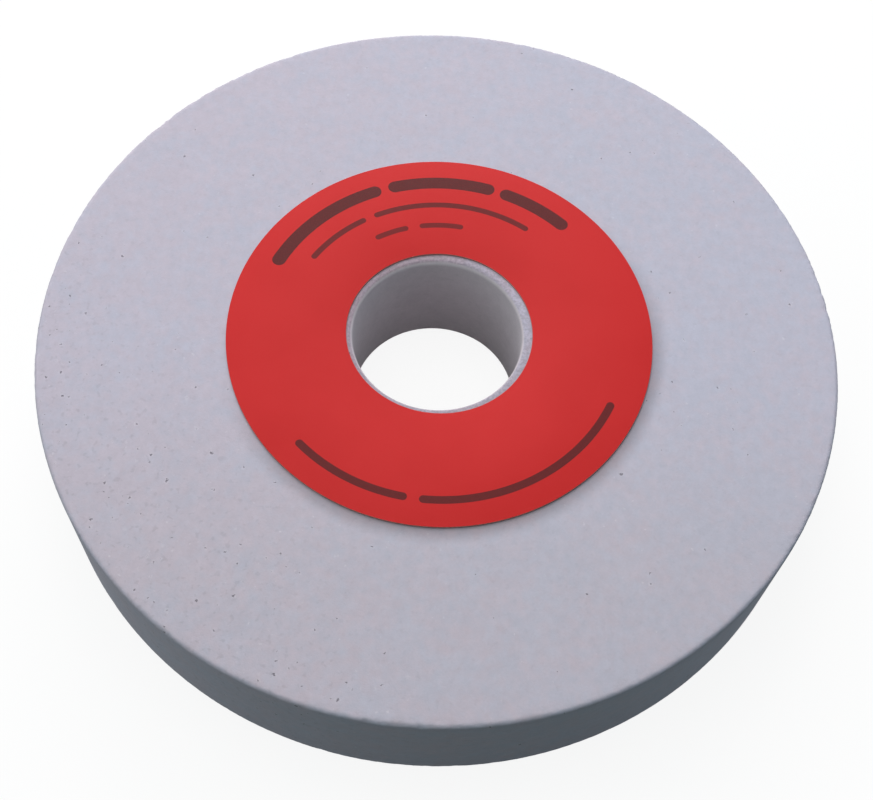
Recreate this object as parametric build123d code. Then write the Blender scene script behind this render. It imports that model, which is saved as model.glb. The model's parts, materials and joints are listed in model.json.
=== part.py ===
from build123d import *
import os

# A straight grinding wheel of fired white corundum, with a paper washer (a blotter) pasted on each
# side. It lies flat on its rear side. All sizes are in millimetres. Z is the axis of the bore and
# points out of the front side, and the origin is where that axis meets the surface it lies on.

# The wheel
wheel_diameter = 150.0
wheel_width = 25.0
bore_diameter = 32.0
rim_edge_radius = 0.5    # the corners of the rim are left nearly sharp
bore_edge_radius = 1.0   # the mouths of the bore are rounder, to let a spindle in

# The blotters, cut from one paper
blotter_diameter = 80.0
blotter_thickness = 0.4
bare_ring_width = 1.5    # the ring of wheel left bare between the bore and a blotter's hole
front_paste_shift_x = 0.36  # the front blotter is pasted this far off centre
front_paste_shift_y = 0.28

# Worked out from the sizes above
wheel_bottom = blotter_thickness
wheel_top = wheel_bottom + wheel_width
blotter_hole_diameter = bore_diameter + 2 * bare_ring_width


def ring_section(outer_radius, inner_radius, bottom, height):
    """The section of a flat ring, on the right of the Z axis."""
    middle = ((outer_radius + inner_radius) / 2, bottom + height / 2)
    with BuildSketch(Plane.XZ) as section:
        with Locations(middle):
            Rectangle(outer_radius - inner_radius, height)
    return section.sketch


def abrasive_wheel():
    """The fired disc: a turned ring whose four corners are rounded."""
    section = ring_section(wheel_diameter / 2, bore_diameter / 2, wheel_bottom, wheel_width)
    rim_corners = section.vertices().group_by(Axis.X)[-1]
    section = fillet(rim_corners, rim_edge_radius)
    bore_corners = section.vertices().group_by(Axis.X)[0]
    section = fillet(bore_corners, bore_edge_radius)
    return revolve(section, Axis.Z)


def blotter(bottom, shift_x=0.0, shift_y=0.0):
    """A flat paper washer lying at a height, moved sideways by how far it was pasted off centre."""
    section = ring_section(blotter_diameter / 2, blotter_hole_diameter / 2, bottom, blotter_thickness)
    return Pos(shift_x, shift_y, 0) * revolve(section, Axis.Z)


parts = {
    "abrasive_wheel": abrasive_wheel(),
    "front_blotter": blotter(wheel_top, front_paste_shift_x, front_paste_shift_y),
    "rear_blotter": blotter(0.0),
}

os.makedirs("parts", exist_ok=True)
for name, shape in parts.items():
    export_step(shape, f"parts/{name}.step")
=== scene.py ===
import json
import math

import bpy
from mathutils import Matrix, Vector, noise


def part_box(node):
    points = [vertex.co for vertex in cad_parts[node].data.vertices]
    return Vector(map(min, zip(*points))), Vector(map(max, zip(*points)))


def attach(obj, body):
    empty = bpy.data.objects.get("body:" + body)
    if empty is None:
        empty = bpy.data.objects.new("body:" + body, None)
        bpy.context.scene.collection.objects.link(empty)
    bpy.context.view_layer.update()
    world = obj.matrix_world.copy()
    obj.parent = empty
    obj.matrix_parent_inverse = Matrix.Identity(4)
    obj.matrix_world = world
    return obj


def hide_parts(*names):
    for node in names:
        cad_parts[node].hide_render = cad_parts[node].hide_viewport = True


# A grinding wheel lying on its side, with a red paper blotter on each face.
# Everything is in metres, and every finished piece keeps its object at the origin.

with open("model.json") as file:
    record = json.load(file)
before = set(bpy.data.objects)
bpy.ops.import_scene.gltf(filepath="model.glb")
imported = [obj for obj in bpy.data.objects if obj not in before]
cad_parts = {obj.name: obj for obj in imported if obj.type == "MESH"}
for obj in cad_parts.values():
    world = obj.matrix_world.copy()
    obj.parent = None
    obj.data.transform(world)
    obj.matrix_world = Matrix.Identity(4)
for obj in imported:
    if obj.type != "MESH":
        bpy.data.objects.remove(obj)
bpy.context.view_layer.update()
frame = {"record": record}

mm = 0.001
wheelLow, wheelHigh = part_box("abrasive_wheel")
wheelRadius = wheelHigh.x
boreRadius = next(m for m in frame["record"]["mounts"] if m["name"] == "bore")["dims"]["r_mm"] * mm
frontLow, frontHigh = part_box("front_blotter")
frontMiddle = ((frontLow.x + frontHigh.x) / 2, (frontLow.y + frontHigh.y) / 2)
frontRadius = (frontHigh.x - frontLow.x) / 2
print("frame loaded, wheel radius", round(wheelRadius, 4), "bore radius", round(boreRadius, 4))


# Small helpers for modelling by hand

def deselectAll():
    bpy.ops.object.select_all(action="DESELECT")


def editMode(piece, selectMode="VERT"):
    bpy.context.view_layer.objects.active = piece
    bpy.ops.object.mode_set(mode="EDIT")
    bpy.ops.mesh.select_mode(type=selectMode)


def objectMode():
    bpy.ops.object.mode_set(mode="OBJECT")


def selectPoints(piece, wanted):
    # leaves only the points that pass the test selected, and comes back in edit mode
    editMode(piece)
    bpy.ops.mesh.select_all(action="DESELECT")
    objectMode()
    for point in piece.data.vertices:
        point.select = wanted(point.co)
    bpy.ops.object.mode_set(mode="EDIT")


def addSection(name, innerRadius, outerRadius, bottom, top):
    # a rectangle that stands in the XZ plane, the section that is turned round Z
    deselectAll()
    middle = ((innerRadius + outerRadius) / 2, 0, (bottom + top) / 2)
    bpy.ops.mesh.primitive_plane_add(size=1, location=middle, rotation=(math.pi / 2, 0, 0))
    section = bpy.context.object
    section.name = name
    section.scale = (outerRadius - innerRadius, top - bottom, 1)
    bpy.ops.object.transform_apply(location=True, rotation=True, scale=True)
    return section


def roundCorners(section, wanted, radius, steps):
    selectPoints(section, wanted)
    bpy.ops.mesh.bevel(offset=radius, segments=steps, profile=0.5, affect="VERTICES")
    objectMode()


def openSection(section):
    # only the outline is turned, so nothing is left inside the ring
    editMode(section)
    bpy.ops.mesh.select_all(action="SELECT")
    bpy.ops.mesh.delete(type="ONLY_FACE")
    objectMode()


def cutOutline(section, point, normal):
    # a cut straight through the outline adds a row wherever it crosses an edge
    editMode(section, "EDGE")
    bpy.ops.mesh.select_all(action="SELECT")
    bpy.ops.mesh.bisect(plane_co=point, plane_no=normal)
    objectMode()


def turnOutline(section, steps):
    turn = section.modifiers.new("turn", "SCREW")
    turn.axis = "Z"
    turn.angle = 2 * math.pi
    turn.screw_offset = 0
    turn.steps = steps
    turn.render_steps = steps
    turn.use_normal_calculate = True
    bpy.ops.object.modifier_apply(modifier=turn.name)
    editMode(section)
    bpy.ops.mesh.select_all(action="SELECT")
    bpy.ops.mesh.remove_doubles(threshold=0.001 * mm)
    bpy.ops.mesh.normals_make_consistent(inside=False)
    objectMode()


def moveSideways(piece, x, y):
    editMode(piece)
    bpy.ops.mesh.select_all(action="SELECT")
    bpy.ops.transform.translate(value=(x, y, 0))
    objectMode()


def applyDisplace(piece, texture, groupName, strength, midLevel):
    displace = piece.modifiers.new("relief", "DISPLACE")
    displace.texture = texture
    displace.texture_coords = "LOCAL"
    displace.vertex_group = groupName
    displace.strength = strength
    displace.mid_level = midLevel
    bpy.ops.object.modifier_apply(modifier=displace.name)


def smooth(piece, degrees):
    deselectAll()
    piece.select_set(True)
    bpy.context.view_layer.objects.active = piece
    bpy.ops.object.shade_smooth_by_angle(angle=math.radians(degrees))


# Small helpers for materials

noiseSpan = (0.3, 0.7)  # most values of a noise lie between these


def newMaterial(name):
    material = bpy.data.materials.new(name)
    material.use_nodes = True
    tree = material.node_tree
    tree.nodes.clear()
    output = tree.nodes.new("ShaderNodeOutputMaterial")
    return material, tree, output


def addNode(tree, kind, links=None, values=None, **settings):
    # links and values go by socket name or number
    node = tree.nodes.new(kind)
    for key, value in settings.items():
        setattr(node, key, value)
    for key, value in (values or {}).items():
        node.inputs[key].default_value = value
    for key, socket in (links or {}).items():
        tree.links.new(socket, node.inputs[key])
    return node


def math2(tree, operation, a, b=None):
    node = tree.nodes.new("ShaderNodeMath")
    node.operation = operation
    for i, value in enumerate((a, b)):
        if value is None:
            continue
        if isinstance(value, (int, float)):
            node.inputs[i].default_value = value
        else:
            tree.links.new(value, node.inputs[i])
    return node.outputs[0]


def rangeOf(tree, value, fromLow, fromHigh, toLow=0.0, toHigh=1.0, kind="SMOOTHSTEP"):
    node = addNode(tree, "ShaderNodeMapRange", {"Value": value}, interpolation_type=kind)
    limits = {"From Min": fromLow, "From Max": fromHigh, "To Min": toLow, "To Max": toHigh}
    for key, limit in limits.items():
        if isinstance(limit, (int, float)):
            node.inputs[key].default_value = limit
        else:
            tree.links.new(limit, node.inputs[key])
    return node.outputs["Result"]


def mixColour(tree, factor, a, b, blend="MIX"):
    node = tree.nodes.new("ShaderNodeMix")
    node.data_type = "RGBA"
    node.blend_type = blend
    for i, value in ((0, factor), (6, a), (7, b)):
        if isinstance(value, (int, float, tuple)):
            node.inputs[i].default_value = (*value, 1) if isinstance(value, tuple) else value
        else:
            tree.links.new(value, node.inputs[i])
    return node.outputs[2]


# The camera, fitted to the photograph: from the front and above, turned a little

cameraSet = {
    "sensor": 36,         # mm
    "lens": 57.92,        # mm
    "distance": 0.2642,   # from the middle of the wheel's upper face
    "elevation": 58.52,   # degrees above that face
    "pan": 1.069,
    "tilt": -2.460,
    "roll": -3.734,
    "shiftX": 0.0336,     # the lens's middle, left free when the camera was fitted
    "shiftY": -0.0095,
}


def addCamera(look):
    turn = {key: math.radians(look[key]) for key in ("elevation", "pan", "tilt", "roll")}
    deselectAll()
    bpy.ops.object.camera_add()
    camera = bpy.context.object
    camera.name = "photoCamera"
    camera.data.sensor_width = look["sensor"]
    camera.data.lens = look["lens"]
    camera.data.shift_x = look["shiftX"]
    camera.data.shift_y = look["shiftY"]
    camera.data.clip_start = 0.01
    place = Matrix.Translation((
        0,
        -look["distance"] * math.cos(turn["elevation"]),
        look["distance"] * math.sin(turn["elevation"]) + wheelHigh.z,
    ))
    camera.matrix_world = (
        place
        @ Matrix.Rotation(math.pi / 2 - turn["elevation"], 4, "X")
        @ Matrix.Rotation(turn["pan"], 4, "Y")
        @ Matrix.Rotation(turn["tilt"], 4, "X")
        @ Matrix.Rotation(-turn["roll"], 4, "Z")
    )
    bpy.context.scene.camera = camera


addCamera(cameraSet)
print("camera placed")


# Floor, world and lamps

stageSet = {
    "floorSize": 6.0,
    "floorBounce": (0.047, 0.078, 0.061),  # what the floor throws back on the wheel
    "shadowShare": 0.10,                 # how much of the seen floor takes the shadow
    "shadowReach": (0.12, 0.32),         # from the middle, where that share fades to none
}

# soft patches of sky: the way each one lies, how fast it fades, strength and colour
skySets = [
    {"way": (-0.35, 0.90, 0.26), "fade": 2.0, "strength": 0.66, "tone": (1.0, 0.9, 1.0)},
    {"way": (0.50, 0.83, 0.26), "fade": 2.0, "strength": 0.26, "tone": (0.7, 0.8, 1.0)},
    {"way": (-0.95, -0.10, 0.30), "fade": 3.0, "strength": 1.08, "tone": (0.83, 1.0, 1.0)},
    {"way": (0.95, -0.10, 0.30), "fade": 3.0, "strength": 0.46, "tone": (0.68, 0.95, 1.0)},
]

# azimuth from +X and elevation in degrees, the rest in metres, watts and colour
lampSets = {
    "keyLamp": {"azimuth": 120, "elevation": 78, "distance": 0.8, "size": 0.45, "power": 2.2,
                "tone": (0.98, 1.0, 0.96)},
    "backLamp": {"azimuth": 95, "elevation": 40, "distance": 0.8, "size": 0.45, "power": 3.2,
                 "tone": (1.0, 0.95, 0.93)},
}


def seenRay(tree):
    # 1 where the camera, a mirror or a pane of glass looks straight at it
    path = tree.nodes.new("ShaderNodeLightPath")
    glossy = math2(tree, "MAXIMUM", path.outputs["Is Camera Ray"], path.outputs["Is Glossy Ray"])
    return math2(tree, "MAXIMUM", glossy, path.outputs["Is Transmission Ray"])


def addFloor(look):
    material, tree, output = newMaterial("paleFloor")
    bounce = addNode(tree, "ShaderNodeBsdfDiffuse", values={"Color": (*look["floorBounce"], 1)})
    glow = addNode(tree, "ShaderNodeEmission", values={"Color": (1, 1, 1, 1), "Strength": 1.0})
    paper = addNode(tree, "ShaderNodeBsdfDiffuse", values={"Color": (1, 1, 1, 1)})
    place = tree.nodes.new("ShaderNodeTexCoord").outputs["Object"]
    away = addNode(tree, "ShaderNodeVectorMath", {0: place}, operation="LENGTH")
    near, far = look["shadowReach"]
    share = rangeOf(tree, away.outputs["Value"], far, near, 0.0, look["shadowShare"])
    seen = addNode(tree, "ShaderNodeMixShader", {0: share, 1: glow.outputs[0], 2: paper.outputs[0]})
    mix = addNode(tree, "ShaderNodeMixShader",
                  {0: seenRay(tree), 1: bounce.outputs[0], 2: seen.outputs[0]})
    tree.links.new(mix.outputs[0], output.inputs["Surface"])
    deselectAll()
    bpy.ops.mesh.primitive_plane_add(size=look["floorSize"])
    floor = bpy.context.object
    floor.name = "floor"
    floor.data.materials.append(material)


def addWorld(patches):
    world = bpy.data.worlds.new("studioSky")
    bpy.context.scene.world = world
    world.use_nodes = True
    tree = world.node_tree
    tree.nodes.clear()
    output = tree.nodes.new("ShaderNodeOutputWorld")
    way = tree.nodes.new("ShaderNodeTexCoord").outputs["Generated"]
    light = None
    for patch in patches:
        towards = addNode(tree, "ShaderNodeVectorMath", {0: way}, {1: patch["way"]},
                          operation="DOT_PRODUCT")
        facing = math2(tree, "MAXIMUM", towards.outputs["Value"], 0.0)
        share = math2(tree, "POWER", facing, patch["fade"])
        strength = math2(tree, "MULTIPLY", share, patch["strength"])
        sky = addNode(tree, "ShaderNodeBackground", {1: strength}, {0: (*patch["tone"], 1)})
        if light is None:
            light = sky.outputs[0]
        else:
            light = addNode(tree, "ShaderNodeAddShader", {0: light, 1: sky.outputs[0]}).outputs[0]
    white = addNode(tree, "ShaderNodeBackground", values={0: (1, 1, 1, 1), 1: 1.0})
    mix = addNode(tree, "ShaderNodeMixShader", {0: seenRay(tree), 1: light, 2: white.outputs[0]})
    tree.links.new(mix.outputs[0], output.inputs["Surface"])


def addLamp(name, look):
    azimuth, elevation = math.radians(look["azimuth"]), math.radians(look["elevation"])
    flat = look["distance"] * math.cos(elevation)
    place = (flat * math.cos(azimuth), flat * math.sin(azimuth), look["distance"] * math.sin(elevation))
    deselectAll()
    bpy.ops.object.light_add(type="AREA", location=place)
    lamp = bpy.context.object
    lamp.name = name
    lamp.data.shape = "SQUARE"
    lamp.data.size = look["size"]
    lamp.data.energy = look["power"]
    lamp.data.color = look["tone"]
    lamp.rotation_mode = "QUATERNION"
    lamp.rotation_quaternion = lamp.location.to_track_quat("Z", "Y")  # its -Z looks at the wheel


addFloor(stageSet)
addWorld(skySets)
for lampName, lampSet in lampSets.items():
    addLamp(lampName, lampSet)
bpy.context.scene.view_settings.view_transform = "Standard"
print("stage lit")


# The abrasive: fine pale grains in a matte fired bond, with dimples, pores and a few glinting grains,
# and much of its light and shade painted into the colour

abrasiveSet = {
    "warm": (0.518, 0.470, 0.550),   # the two tints that drift over the face
    "cool": (0.480, 0.476, 0.572),
    "leftLightWarmth": 0.070,               # painted light: how far the warm tint gains on the cool one towards -X, where the light falls warmer
    "tintSpread": (0.36, 0.64),      # the cloud values at which a tint is pure
    "driftSize": 7 * mm,
    "driftTone": 0.012,              # how far the wide clouds stray from the mean
    "mottleSize": 2.0 * mm,
    "mottleTone": 0.030,
    "grainSize": 0.34 * mm,
    "grainTone": 0.022,              # how far one grain's tone strays from the next
    "grainHeight": 0.012 * mm,
    "lean": (-0.80, -0.60, 0),       # the way in which pores and hollows get more
    "leanReach": (0.40, 0.90),       # where that begins and ends, in shares of the wheel's radius
    "hollowSize": 1.1 * mm,          # shallow hollows, which look like smudges, shown only by painted shade
    "hollowShadeTone": (0.96, 0.89),      # the painted shade where they are weakest and strongest
    "hollowSpread": (0.58, 0.72),    # the noise values at which a hollow begins and is deepest
    "warpSize": 0.40 * mm,           # makes the round marks ragged
    "warpReach": 0.9 * mm,
    # painted shade inside pores and pits
    "poreShadeTone": (0.10, 0.09, 0.11),
    # painted highlight, for glints and for the rims of pores and pits
    "paintedHighlightTone": (0.85, 0.83, 0.88),
    "nearShadeTone": (0.955, 0.935, 0.905),  # painted shade, evening out the light: the near part of the face is darker
    "nearWay": (0.05, -1.0, 0),
    "nearReach": 0.75,               # where that is full, in shares of the wheel's radius
    "faceEdge": (0.2 * mm, 0.8 * mm),  # fades it out before the rim, so that the side keeps its tone
    "bore": (0.705, 0.638, 0.678),   # painted light: the bore's wall is made lighter than the face, for the light it gets inside the bore
    "boreRightShade": (0.620, 0.561, 0.597),  # painted shade: its right side is darker
    "boreWay": (1.0, 0, 0),
    "wallEdge": (0.5 * mm, 0.12 * mm),  # where the wall's tone begins and is full, past the bore
    "ringEdge": (2.0 * mm, 1.6 * mm),  # where the bare ring's tone begins and is full, past the bore
    "ringShadeTone": (0.79, 0.67, 0.67),  # painted shade on the ring between paper and bore, on its darker side
    # the ring's tone where no painted shade falls, and the way towards it
    "ringLitTone": (0.99, 0.98, 1.0),
    "ringLitWay": (0.80, -0.60, 0),
    "speckSize": 0.45 * mm,          # the grains stand out on that ring
    "speckTone": (0.86, 1.12),
    "speckSpread": (0.35, 0.65),     # the noise values at which a speck is darkest and lightest
    "paperShadowTone": (0.64, 0.60, 0.59),  # painted shadow: the dark band in front of the paper
    "paperShadowReach": 3.6 * mm,
    "paperShadowWay": (0.45, -0.90, 0),    # the side on which it shows, away from the light
    "paperShadowSpread": (-0.3, 0.8),      # where it begins and is full, in shares of the paper's radius
    "poreRimHighlight": 0.12,               # painted highlight: the light ring round a pore or pit
    "dentDepth": 4.0,                # how much deeper a mark is than the dip between grains
    "markShift": 31 * mm,            # sets each kind of mark in cells of its own
    "roughness": 0.9,
}

# scattered marks: the cell that may hold one, the share of cells that do where they are fewest and
# most, the smallest and largest radius, how soft the edge is and how strong the mark
markSets = {
    # pores and pits: dents in the bump, with painted shade inside them
    "pore": {"cell": 1.2 * mm, "share": (0.030, 0.21), "radius": (0.15 * mm, 0.33 * mm),
             "soft": 0.35, "strength": 0.66},
    "pit": {"cell": 5.0 * mm, "share": (0.06, 0.50), "radius": (0.20 * mm, 0.46 * mm),
            "soft": 0.3, "strength": 0.82},
    # glints: painted highlights on single grains
    "glint": {"cell": 1.7 * mm, "share": (0.35, 0.50), "radius": (0.14 * mm, 0.36 * mm),
              "soft": 0.6, "strength": 0.22},
}


def radiusOf(tree, place):
    # how far from the Z axis
    axes = addNode(tree, "ShaderNodeSeparateXYZ", {0: place})
    x, y = axes.outputs[0], axes.outputs[1]
    squares = math2(tree, "ADD", math2(tree, "MULTIPLY", x, x), math2(tree, "MULTIPLY", y, y))
    return math2(tree, "SQRT", squares)


def angleOf(tree, place):
    # round the Z axis, from +X
    axes = addNode(tree, "ShaderNodeSeparateXYZ", {0: place})
    return math2(tree, "ARCTAN2", axes.outputs[1], axes.outputs[0])


def along(tree, place, way):
    # how far along a direction
    dot = addNode(tree, "ShaderNodeVectorMath", {0: place}, {1: way}, operation="DOT_PRODUCT")
    return dot.outputs["Value"]


def markMask(tree, place, lean, mark, shift):
    # one ragged spot in each cell that is chosen, and a ring just outside it for a painted highlight
    moved = addNode(tree, "ShaderNodeVectorMath", {0: place}, {1: (shift, shift, shift)},
                    operation="ADD")
    cells = addNode(tree, "ShaderNodeTexVoronoi", {"Vector": moved.outputs[0]},
                    {"Scale": 1 / mark["cell"]})
    chance = addNode(tree, "ShaderNodeSeparateColor", {0: cells.outputs["Color"]})
    share = rangeOf(tree, lean, 0.0, 1.0, *mark["share"])
    chosen = math2(tree, "LESS_THAN", chance.outputs[0], share)
    size = math2(tree, "POWER", chance.outputs[1], 3.0)  # most spots are small
    low, high = (radius / mark["cell"] for radius in mark["radius"])
    reach = rangeOf(tree, size, 0.0, 1.0, low, high, "LINEAR")
    away = math2(tree, "DIVIDE", cells.outputs["Distance"], reach)  # 1 at the spot's edge
    spot = math2(tree, "MULTIPLY", chosen, rangeOf(tree, away, 1.0, 1.0 - mark["soft"]))
    begun = rangeOf(tree, away, 0.9, 1.2)  # the ring starts at that edge
    ended = rangeOf(tree, away, 1.8, 1.3)  # and is gone well before twice the radius
    highlightRing = math2(tree, "MULTIPLY", begun, ended)
    return spot, math2(tree, "MULTIPLY", chosen, highlightRing)


def abrasiveMaterial(look, marks):
    material, tree, output = newMaterial("whiteCorundum")
    place = tree.nodes.new("ShaderNodeTexCoord").outputs["Object"]
    axes = addNode(tree, "ShaderNodeSeparateXYZ", {0: place})
    radius = radiusOf(tree, place)

    # two tints that drift over the face, in wide clouds and in fine mottling
    drift = addNode(tree, "ShaderNodeTexNoise", {"Vector": place},
                    {"Scale": 1 / look["driftSize"], "Detail": 2.0, "Roughness": 0.6})
    drifts = addNode(tree, "ShaderNodeSeparateColor", {0: drift.outputs["Color"]})
    mottle = addNode(tree, "ShaderNodeTexNoise", {"Vector": place},
                     {"Scale": 1 / look["mottleSize"], "Detail": 2.0, "Roughness": 0.55})
    mottles = addNode(tree, "ShaderNodeSeparateColor", {0: mottle.outputs["Color"]})
    both = math2(tree, "ADD", math2(tree, "MULTIPLY", drifts.outputs[0], 0.5),
                 math2(tree, "MULTIPLY", mottles.outputs[0], 0.5))  # their mean
    # painted warm light from the left: the tint leans warm towards -X
    leftLightWarmth = look["leftLightWarmth"]
    across = rangeOf(tree, axes.outputs[0], -wheelRadius, wheelRadius, -leftLightWarmth, leftLightWarmth)
    cloud = math2(tree, "ADD", both, across)
    tintShare = rangeOf(tree, cloud, *look["tintSpread"], kind="LINEAR")
    tint = mixColour(tree, tintShare, look["warm"], look["cool"])

    # single grains, each a little lighter or darker than the next
    grain = addNode(tree, "ShaderNodeTexVoronoi", {"Vector": place},
                    {"Scale": 1 / look["grainSize"]})
    chance = addNode(tree, "ShaderNodeSeparateColor", {0: grain.outputs["Color"]})
    grainTone = look["grainTone"]
    tone = rangeOf(tree, chance.outputs[0], 0.0, 1.0, 1 - grainTone, 1 + grainTone, "LINEAR")
    shades = ((mottles.outputs[1], look["mottleTone"]), (drifts.outputs[1], look["driftTone"]))
    for noiseValue, reach in shades:
        shade = rangeOf(tree, noiseValue, *noiseSpan, 1 - reach, 1 + reach, "LINEAR")
        tone = math2(tree, "MULTIPLY", tone, shade)
    leanLow, leanHigh = (share * wheelRadius for share in look["leanReach"])
    lean = rangeOf(tree, along(tree, place, look["lean"]), leanLow, leanHigh)
    # painted shade of shallow hollows: the colour darkens where this noise is high, with no dent in the
    # bump
    hollow = addNode(tree, "ShaderNodeTexNoise", {"Vector": place},
                     {"Scale": 1 / look["hollowSize"], "Detail": 1.5, "Roughness": 0.5,
                      "Distortion": 0.25})
    deepest = rangeOf(tree, lean, 0.0, 1.0, *look["hollowShadeTone"], "LINEAR")
    shade = rangeOf(tree, hollow.outputs["Fac"], *look["hollowSpread"], 1.0, deepest)
    tone = math2(tree, "MULTIPLY", tone, shade)
    toneColour = addNode(tree, "ShaderNodeCombineColor", {0: tone, 1: tone, 2: tone})
    colour = mixColour(tree, 1.0, tint, toneColour.outputs[0], "MULTIPLY")

    # marks where grains have come away, more of them towards the lower left: pores and pits are dents
    # in the bump with painted shade inside and a painted highlight round them, and glints are painted
    # highlights
    warp = addNode(tree, "ShaderNodeTexNoise", {"Vector": place},
                   {"Scale": 1 / look["warpSize"], "Detail": 2.0})
    offset = addNode(tree, "ShaderNodeVectorMath", {0: warp.outputs["Color"]},
                     {3: look["warpReach"]}, operation="SCALE")
    bent = addNode(tree, "ShaderNodeVectorMath", {0: place, 1: offset.outputs[0]},
                   operation="ADD").outputs[0]
    height = math2(tree, "MULTIPLY", grain.outputs["Distance"], -1.0)
    for i, (name, mark) in enumerate(marks.items()):
        spot, highlightRing = markMask(tree, bent, lean, mark, i * look["markShift"])
        # a glint gets a painted highlight, a pore or pit gets painted shade
        markTone = look["paintedHighlightTone"] if name == "glint" else look["poreShadeTone"]
        cover = math2(tree, "MULTIPLY", spot, mark["strength"])
        colour = mixColour(tree, cover, colour, markTone)
        if name in ("pore", "pit"):
            # painted highlight on the rim round a pore or pit
            light = math2(tree, "MULTIPLY", highlightRing, look["poreRimHighlight"])
            colour = mixColour(tree, light, colour, look["paintedHighlightTone"])
            dent = math2(tree, "MULTIPLY", spot, look["dentDepth"])
            height = math2(tree, "SUBTRACT", height, dent)

    # painted shade: the near part of the face is darker and less blue than the lamps leave it
    onNear = along(tree, place, look["nearWay"])
    near = rangeOf(tree, onNear, 0.0, look["nearReach"] * wheelRadius)
    faceEnd, faceFull = (wheelRadius - edge for edge in look["faceEdge"])
    onFace = rangeOf(tree, radius, faceEnd, faceFull)
    darker = mixColour(tree, 1.0, colour, look["nearShadeTone"], "MULTIPLY")
    colour = mixColour(tree, math2(tree, "MULTIPLY", near, onFace), colour, darker)

    # painted shade darkens the bare ring round the bore on its back-left side, and a painted shadow
    # lies in front of the paper
    onRing = rangeOf(tree, radius, *(boreRadius + edge for edge in look["ringEdge"]))
    ringLitShare = rangeOf(tree, along(tree, place, look["ringLitWay"]), -boreRadius, boreRadius)
    ringTone = mixColour(tree, ringLitShare, look["ringShadeTone"], look["ringLitTone"])
    speck = addNode(tree, "ShaderNodeTexNoise", {"Vector": place},
                    {"Scale": 1 / look["speckSize"], "Detail": 2.0})
    speckTone = rangeOf(tree, speck.outputs["Fac"], *look["speckSpread"], *look["speckTone"])
    specks = addNode(tree, "ShaderNodeCombineColor", {0: speckTone, 1: speckTone, 2: speckTone})
    ringTone = mixColour(tree, 1.0, ringTone, specks.outputs[0], "MULTIPLY")
    ringShaded = mixColour(tree, 1.0, colour, ringTone, "MULTIPLY")
    colour = mixColour(tree, onRing, colour, ringShaded)
    # painted shadow of the paper's edge, on its front and right
    fromPaper = addNode(tree, "ShaderNodeVectorMath", {0: place}, {1: (*frontMiddle, 0)},
                        operation="SUBTRACT").outputs[0]
    paperShadow = rangeOf(tree, radiusOf(tree, fromPaper), frontRadius + look["paperShadowReach"], frontRadius)
    begins, full = (share * frontRadius for share in look["paperShadowSpread"])
    onSide = rangeOf(tree, along(tree, fromPaper, look["paperShadowWay"]), begins, full)
    paperShaded = mixColour(tree, 1.0, colour, look["paperShadowTone"], "MULTIPLY")
    colour = mixColour(tree, math2(tree, "MULTIPLY", paperShadow, onSide), colour, paperShaded)

    # the bore's wall, with painted light and painted shade on its right side
    onWall = rangeOf(tree, radius, *(boreRadius + edge for edge in look["wallEdge"]))
    toRight = rangeOf(tree, along(tree, place, look["boreWay"]), 0.0, boreRadius)
    wallLightAndShade = mixColour(tree, toRight, look["bore"], look["boreRightShade"])
    wall = mixColour(tree, 1.0, wallLightAndShade, toneColour.outputs[0], "MULTIPLY")
    colour = mixColour(tree, onWall, colour, wall)

    bump = addNode(tree, "ShaderNodeBump", {"Height": height},
                   {"Strength": 1.0, "Distance": look["grainHeight"]})
    shader = addNode(tree, "ShaderNodeBsdfPrincipled",
                     {"Base Color": colour, "Normal": bump.outputs[0]},
                     {"Roughness": look["roughness"]})
    tree.links.new(shader.outputs[0], output.inputs["Surface"])
    return material


# The wheel, turned from its section, with corners that have lost grains

wheelSet = {
    "rimRound": 0.8 * mm,
    "boreRound": 1.0 * mm,
    "aroundSteps": 1700,
    "rimSteps": 5,
    "boreSteps": 4,
    "smoothAngle": 50,        # degrees, the steepest edge that is still shaded smooth
    # extra rows beside the rounded corners, the last one past the relief, so that what follows
    # is shaded flat
    "rimRows": (1.1 * mm, 1.5 * mm, 1.9 * mm, 2.3 * mm),
    "boreRows": (1.3 * mm, 1.9 * mm, 2.3 * mm),
    "grainRelief": 0.10 * mm,
    "chipRelief": 0.28 * mm,
    "reliefReach": 1.9 * mm,  # how far from a corner the grains still come away
    "lowerShare": 0.4,        # the rim's lower corner has lost fewer than the upper one
    "boreShare": 0.12,        # the bore's edges keep nearly all their grains
    "patchSize": 16 * mm,
    "patchShare": (0.5, 1.4, 0.15),  # the wear's mean, how far it varies and its least
    "grainSize": 0.6 * mm,
    "chipSize": 2.2 * mm,
    "chipBrightness": 1.45,
    "chipContrast": 2.2,
}


def cornerWeight(point, look):
    # 1 at a corner of the rim, less at the bore, fading to 0 along the faces
    radius = math.hypot(point.x, point.y)
    atRim = radius > (wheelRadius + boreRadius) / 2
    height = min(point.z - wheelLow.z, wheelHigh.z - point.z)
    nearest = math.hypot(radius - (wheelRadius if atRim else boreRadius), height)
    fade = max(0.0, 1 - nearest / look["reliefReach"])
    isLower = point.z < (wheelLow.z + wheelHigh.z) / 2
    rimShare = look["lowerShare"] if isLower else 1
    return fade * fade * (3 - 2 * fade) * (rimShare if atRim else look["boreShare"])


def patchWeight(point, look):
    # the wear comes in patches round the rim
    mean, spread, least = look["patchShare"]
    patch = noise.noise(point / look["patchSize"])
    return min(1.0, max(least, mean + spread * patch))


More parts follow.
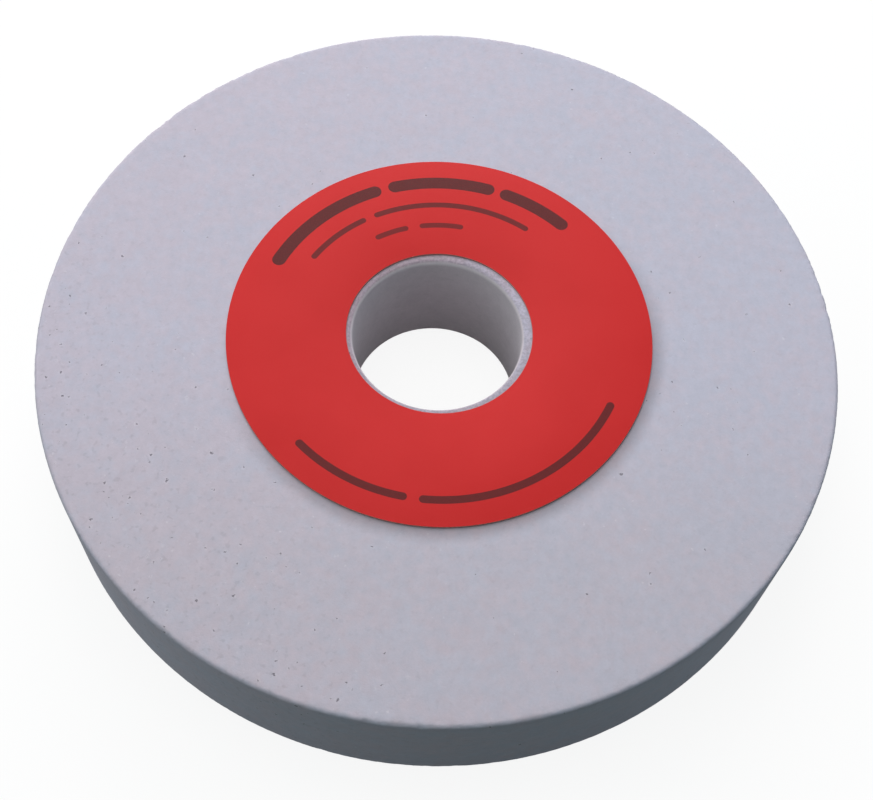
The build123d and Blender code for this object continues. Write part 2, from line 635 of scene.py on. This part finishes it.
def makeWheel(look, material):
    wheel = addSection("abrasiveWheel", boreRadius, wheelRadius, wheelLow.z, wheelHigh.z)
    middle = (boreRadius + wheelRadius) / 2
    roundCorners(wheel, lambda co: co.x > middle, look["rimRound"], look["rimSteps"])
    roundCorners(wheel, lambda co: co.x < boreRadius + 0.01 * mm, look["boreRound"], look["boreSteps"])
    openSection(wheel)
    for row in look["rimRows"]:
        cutOutline(wheel, (wheelRadius - row, 0, 0), (1, 0, 0))
        cutOutline(wheel, (0, 0, wheelLow.z + row), (0, 0, 1))
        cutOutline(wheel, (0, 0, wheelHigh.z - row), (0, 0, 1))
    for row in look["boreRows"]:
        cutOutline(wheel, (boreRadius + row, 0, 0), (1, 0, 0))
    cutOutline(wheel, (middle, 0, 0), (1, 0, 0))
    cutOutline(wheel, (0, 0, (wheelLow.z + wheelHigh.z) / 2), (0, 0, 1))
    turnOutline(wheel, look["aroundSteps"])

    corners = wheel.vertex_groups.new(name="corners")
    patches = wheel.vertex_groups.new(name="patches")
    for point in wheel.data.vertices:
        weight = cornerWeight(point.co, look)
        if weight > 0:
            corners.add([point.index], weight, "REPLACE")
            patches.add([point.index], weight * patchWeight(point.co, look), "REPLACE")
    grains = bpy.data.textures.new("grainRelief", type="VORONOI")
    grains.noise_scale = look["grainSize"]
    # the groups go by name from here: applying a modifier leaves references to them stale
    applyDisplace(wheel, grains, "corners", -look["grainRelief"], 0.0)
    chips = bpy.data.textures.new("chipRelief", type="CLOUDS")
    chips.noise_scale = look["chipSize"]
    chips.noise_depth = 2
    chips.intensity = look["chipBrightness"]
    chips.contrast = look["chipContrast"]
    chips.use_clamp = True
    applyDisplace(wheel, chips, "patches", look["chipRelief"], 1.0)
    smooth(wheel, look["smoothAngle"])
    wheel.data.materials.append(material)
    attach(wheel, "root")
    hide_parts("abrasive_wheel")
    print("wheel made,", len(wheel.data.polygons), "faces")


makeWheel(wheelSet, abrasiveMaterial(abrasiveSet, markSets))


# The blotters: thick red paper, with print on the front one only

blotterSet = {
    "red": (0.572, 0.0152, 0.0155),
    "redDeep": (0.550, 0.0128, 0.0130),
    "edge": (0.42, 0.25, 0.22),
    "ink": (0.022, 0.007, 0.008),
    "roughness": 0.62,
    "gloss": 0.21,
    "roughnessSpread": 0.06,  # to either side, by the fibres
    "fibreSpread": (0.2, 0.8),  # the noise values of the smoothest and the roughest fibres
    "cloudSize": 14 * mm,
    "fibreSize": 0.35 * mm,
    "fibreHeight": 0.006 * mm,
    "inkBleed": 0.12 * mm,
    "inkPatches": 0.3 * mm,   # where the ink covers a little less
    "inkPatchSpread": (0.25, 0.6),
    "inkPatchCover": (0.94, 1.0),
    "cutFibreSize": 0.2 * mm,
    "cutDye": 0.5,            # how far the red has soaked into the fibres of the cut edge
    "cutRoughness": 0.95,
    "cornerRound": 0.08 * mm,
    "cornerSteps": 3,
    "aroundSteps": 720,
    "smoothAngle": 40,
    "bareRing": 1.5 * mm,     # the ring of wheel left bare between the bore and a blotter's hole
}

# plain bars in black, bent round the hole: radius and half thickness, the middle of the row in
# degrees, how well the ink covers, and where each bar begins and ends, in degrees from the middle
printedRows = [
    {"radius": 34.6 * mm, "halfWidth": 1.35 * mm, "middle": 100, "cover": 0.88,
     "bars": (-50.5, -29.5, -23, 8, 15, 56.5)},
    {"radius": 29.2 * mm, "halfWidth": 0.60 * mm, "middle": 100, "cover": 0.80,
     "bars": (-42, 18, 24, 49)},
    {"radius": 24.3 * mm, "halfWidth": 0.58 * mm, "middle": 100, "cover": 0.74,
     "bars": (-16.5, 1, 9, 22.5)},
    {"radius": 34.8 * mm, "halfWidth": 0.75 * mm, "middle": -80, "cover": 0.84,
     "bars": (-53, -17.5, -11.5, 57)},
]


def barMask(tree, radius, angle, row, start, end, bleed):
    # the distance to the bar's middle line, which gives it round ends
    middle, half = math.radians(start + end) / 2, math.radians(end - start) / 2
    past = math2(tree, "ABSOLUTE", math2(tree, "SUBTRACT", angle, middle))
    past = math2(tree, "MAXIMUM", math2(tree, "SUBTRACT", past, half), 0.0)
    beyond = math2(tree, "MULTIPLY", past, row["radius"])
    across = math2(tree, "SUBTRACT", radius, row["radius"])
    squares = math2(tree, "ADD", math2(tree, "MULTIPLY", beyond, beyond),
                    math2(tree, "MULTIPLY", across, across))
    away = math2(tree, "SQRT", squares)
    return rangeOf(tree, away, row["halfWidth"] + bleed / 2, row["halfWidth"] - bleed / 2)


def printMask(tree, place, rows, bleed):
    ink = None
    for row in rows:
        # turns the plane so that the row's middle lies on +X
        turned = addNode(tree, "ShaderNodeMapping", {"Vector": place}, vector_type="POINT")
        turned.inputs["Rotation"].default_value = (0, 0, -math.radians(row["middle"]))
        radius, angle = radiusOf(tree, turned.outputs[0]), angleOf(tree, turned.outputs[0])
        for start, end in zip(row["bars"][::2], row["bars"][1::2]):
            bar = barMask(tree, radius, angle, row, start, end, bleed)
            bar = math2(tree, "MULTIPLY", bar, row["cover"])
            ink = bar if ink is None else math2(tree, "MAXIMUM", ink, bar)
    return ink


def blotterMaterial(look, name, middle, rows):
    material, tree, output = newMaterial(name)
    place = tree.nodes.new("ShaderNodeTexCoord").outputs["Object"]
    cloud = addNode(tree, "ShaderNodeTexNoise", {"Vector": place},
                    {"Scale": 1 / look["cloudSize"], "Detail": 3.0})
    deep = rangeOf(tree, cloud.outputs["Fac"], *noiseSpan)
    colour = mixColour(tree, deep, look["red"], look["redDeep"])
    fibre = addNode(tree, "ShaderNodeTexNoise", {"Vector": place},
                    {"Scale": 1 / look["fibreSize"], "Detail": 3.0, "Roughness": 0.7,
                     "Distortion": 0.6})
    smoothest = look["roughness"] - look["roughnessSpread"]
    roughest = look["roughness"] + look["roughnessSpread"]
    roughness = rangeOf(tree, fibre.outputs["Fac"], *look["fibreSpread"], smoothest, roughest)
    if rows:
        centred = addNode(tree, "ShaderNodeVectorMath", {0: place}, {1: (*middle, 0)},
                          operation="SUBTRACT")
        wobble = addNode(tree, "ShaderNodeTexNoise", {"Vector": place},
                         {"Scale": 1 / look["inkPatches"], "Detail": 2.0})
        ink = printMask(tree, centred.outputs[0], rows, look["inkBleed"])
        patchy = rangeOf(tree, wobble.outputs["Fac"], *look["inkPatchSpread"],
                         *look["inkPatchCover"])
        colour = mixColour(tree, math2(tree, "MULTIPLY", ink, patchy), colour, look["ink"])
    bump = addNode(tree, "ShaderNodeBump", {"Height": fibre.outputs["Fac"]},
                   {"Strength": 1.0, "Distance": look["fibreHeight"]})
    shader = addNode(tree, "ShaderNodeBsdfPrincipled",
                     {"Base Color": colour, "Roughness": roughness, "Normal": bump.outputs[0]},
                     {"Specular IOR Level": look["gloss"]})
    tree.links.new(shader.outputs[0], output.inputs["Surface"])
    return material


def cutPaperMaterial(look):
    material, tree, output = newMaterial("cutPaper")
    place = tree.nodes.new("ShaderNodeTexCoord").outputs["Object"]
    fibre = addNode(tree, "ShaderNodeTexNoise", {"Vector": place},
                    {"Scale": 1 / look["cutFibreSize"], "Detail": 2.0})
    dyed = rangeOf(tree, fibre.outputs["Fac"], *noiseSpan, 0.0, look["cutDye"])
    colour = mixColour(tree, dyed, look["edge"], look["red"])
    shader = addNode(tree, "ShaderNodeBsdfPrincipled", {"Base Color": colour},
                     {"Roughness": look["cutRoughness"]})
    tree.links.new(shader.outputs[0], output.inputs["Surface"])
    return material


def makeBlotter(look, name, node, faceMaterial, edgeMaterial):
    low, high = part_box(node)
    middle = (low + high) / 2
    outerRadius = (high.x - low.x) / 2
    blotter = addSection(name, boreRadius + look["bareRing"], outerRadius, low.z, high.z)
    roundCorners(blotter, lambda co: True, look["cornerRound"], look["cornerSteps"])
    openSection(blotter)
    turnOutline(blotter, look["aroundSteps"])
    moveSideways(blotter, middle.x, middle.y)
    blotter.data.materials.append(faceMaterial)
    blotter.data.materials.append(edgeMaterial)
    for face in blotter.data.polygons:
        isFlat = abs(face.normal.z) > 0.9
        face.material_index = 0 if isFlat else 1
    smooth(blotter, look["smoothAngle"])
    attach(blotter, "root")
    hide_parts(node)
    print(name, "made,", len(blotter.data.polygons), "faces")


cutPaper = cutPaperMaterial(blotterSet)
makeBlotter(blotterSet, "frontBlotter", "front_blotter",
            blotterMaterial(blotterSet, "printedRedPaper", frontMiddle, printedRows), cutPaper)
makeBlotter(blotterSet, "rearBlotter", "rear_blotter",
            blotterMaterial(blotterSet, "plainRedPaper", (0, 0), []), cutPaper)
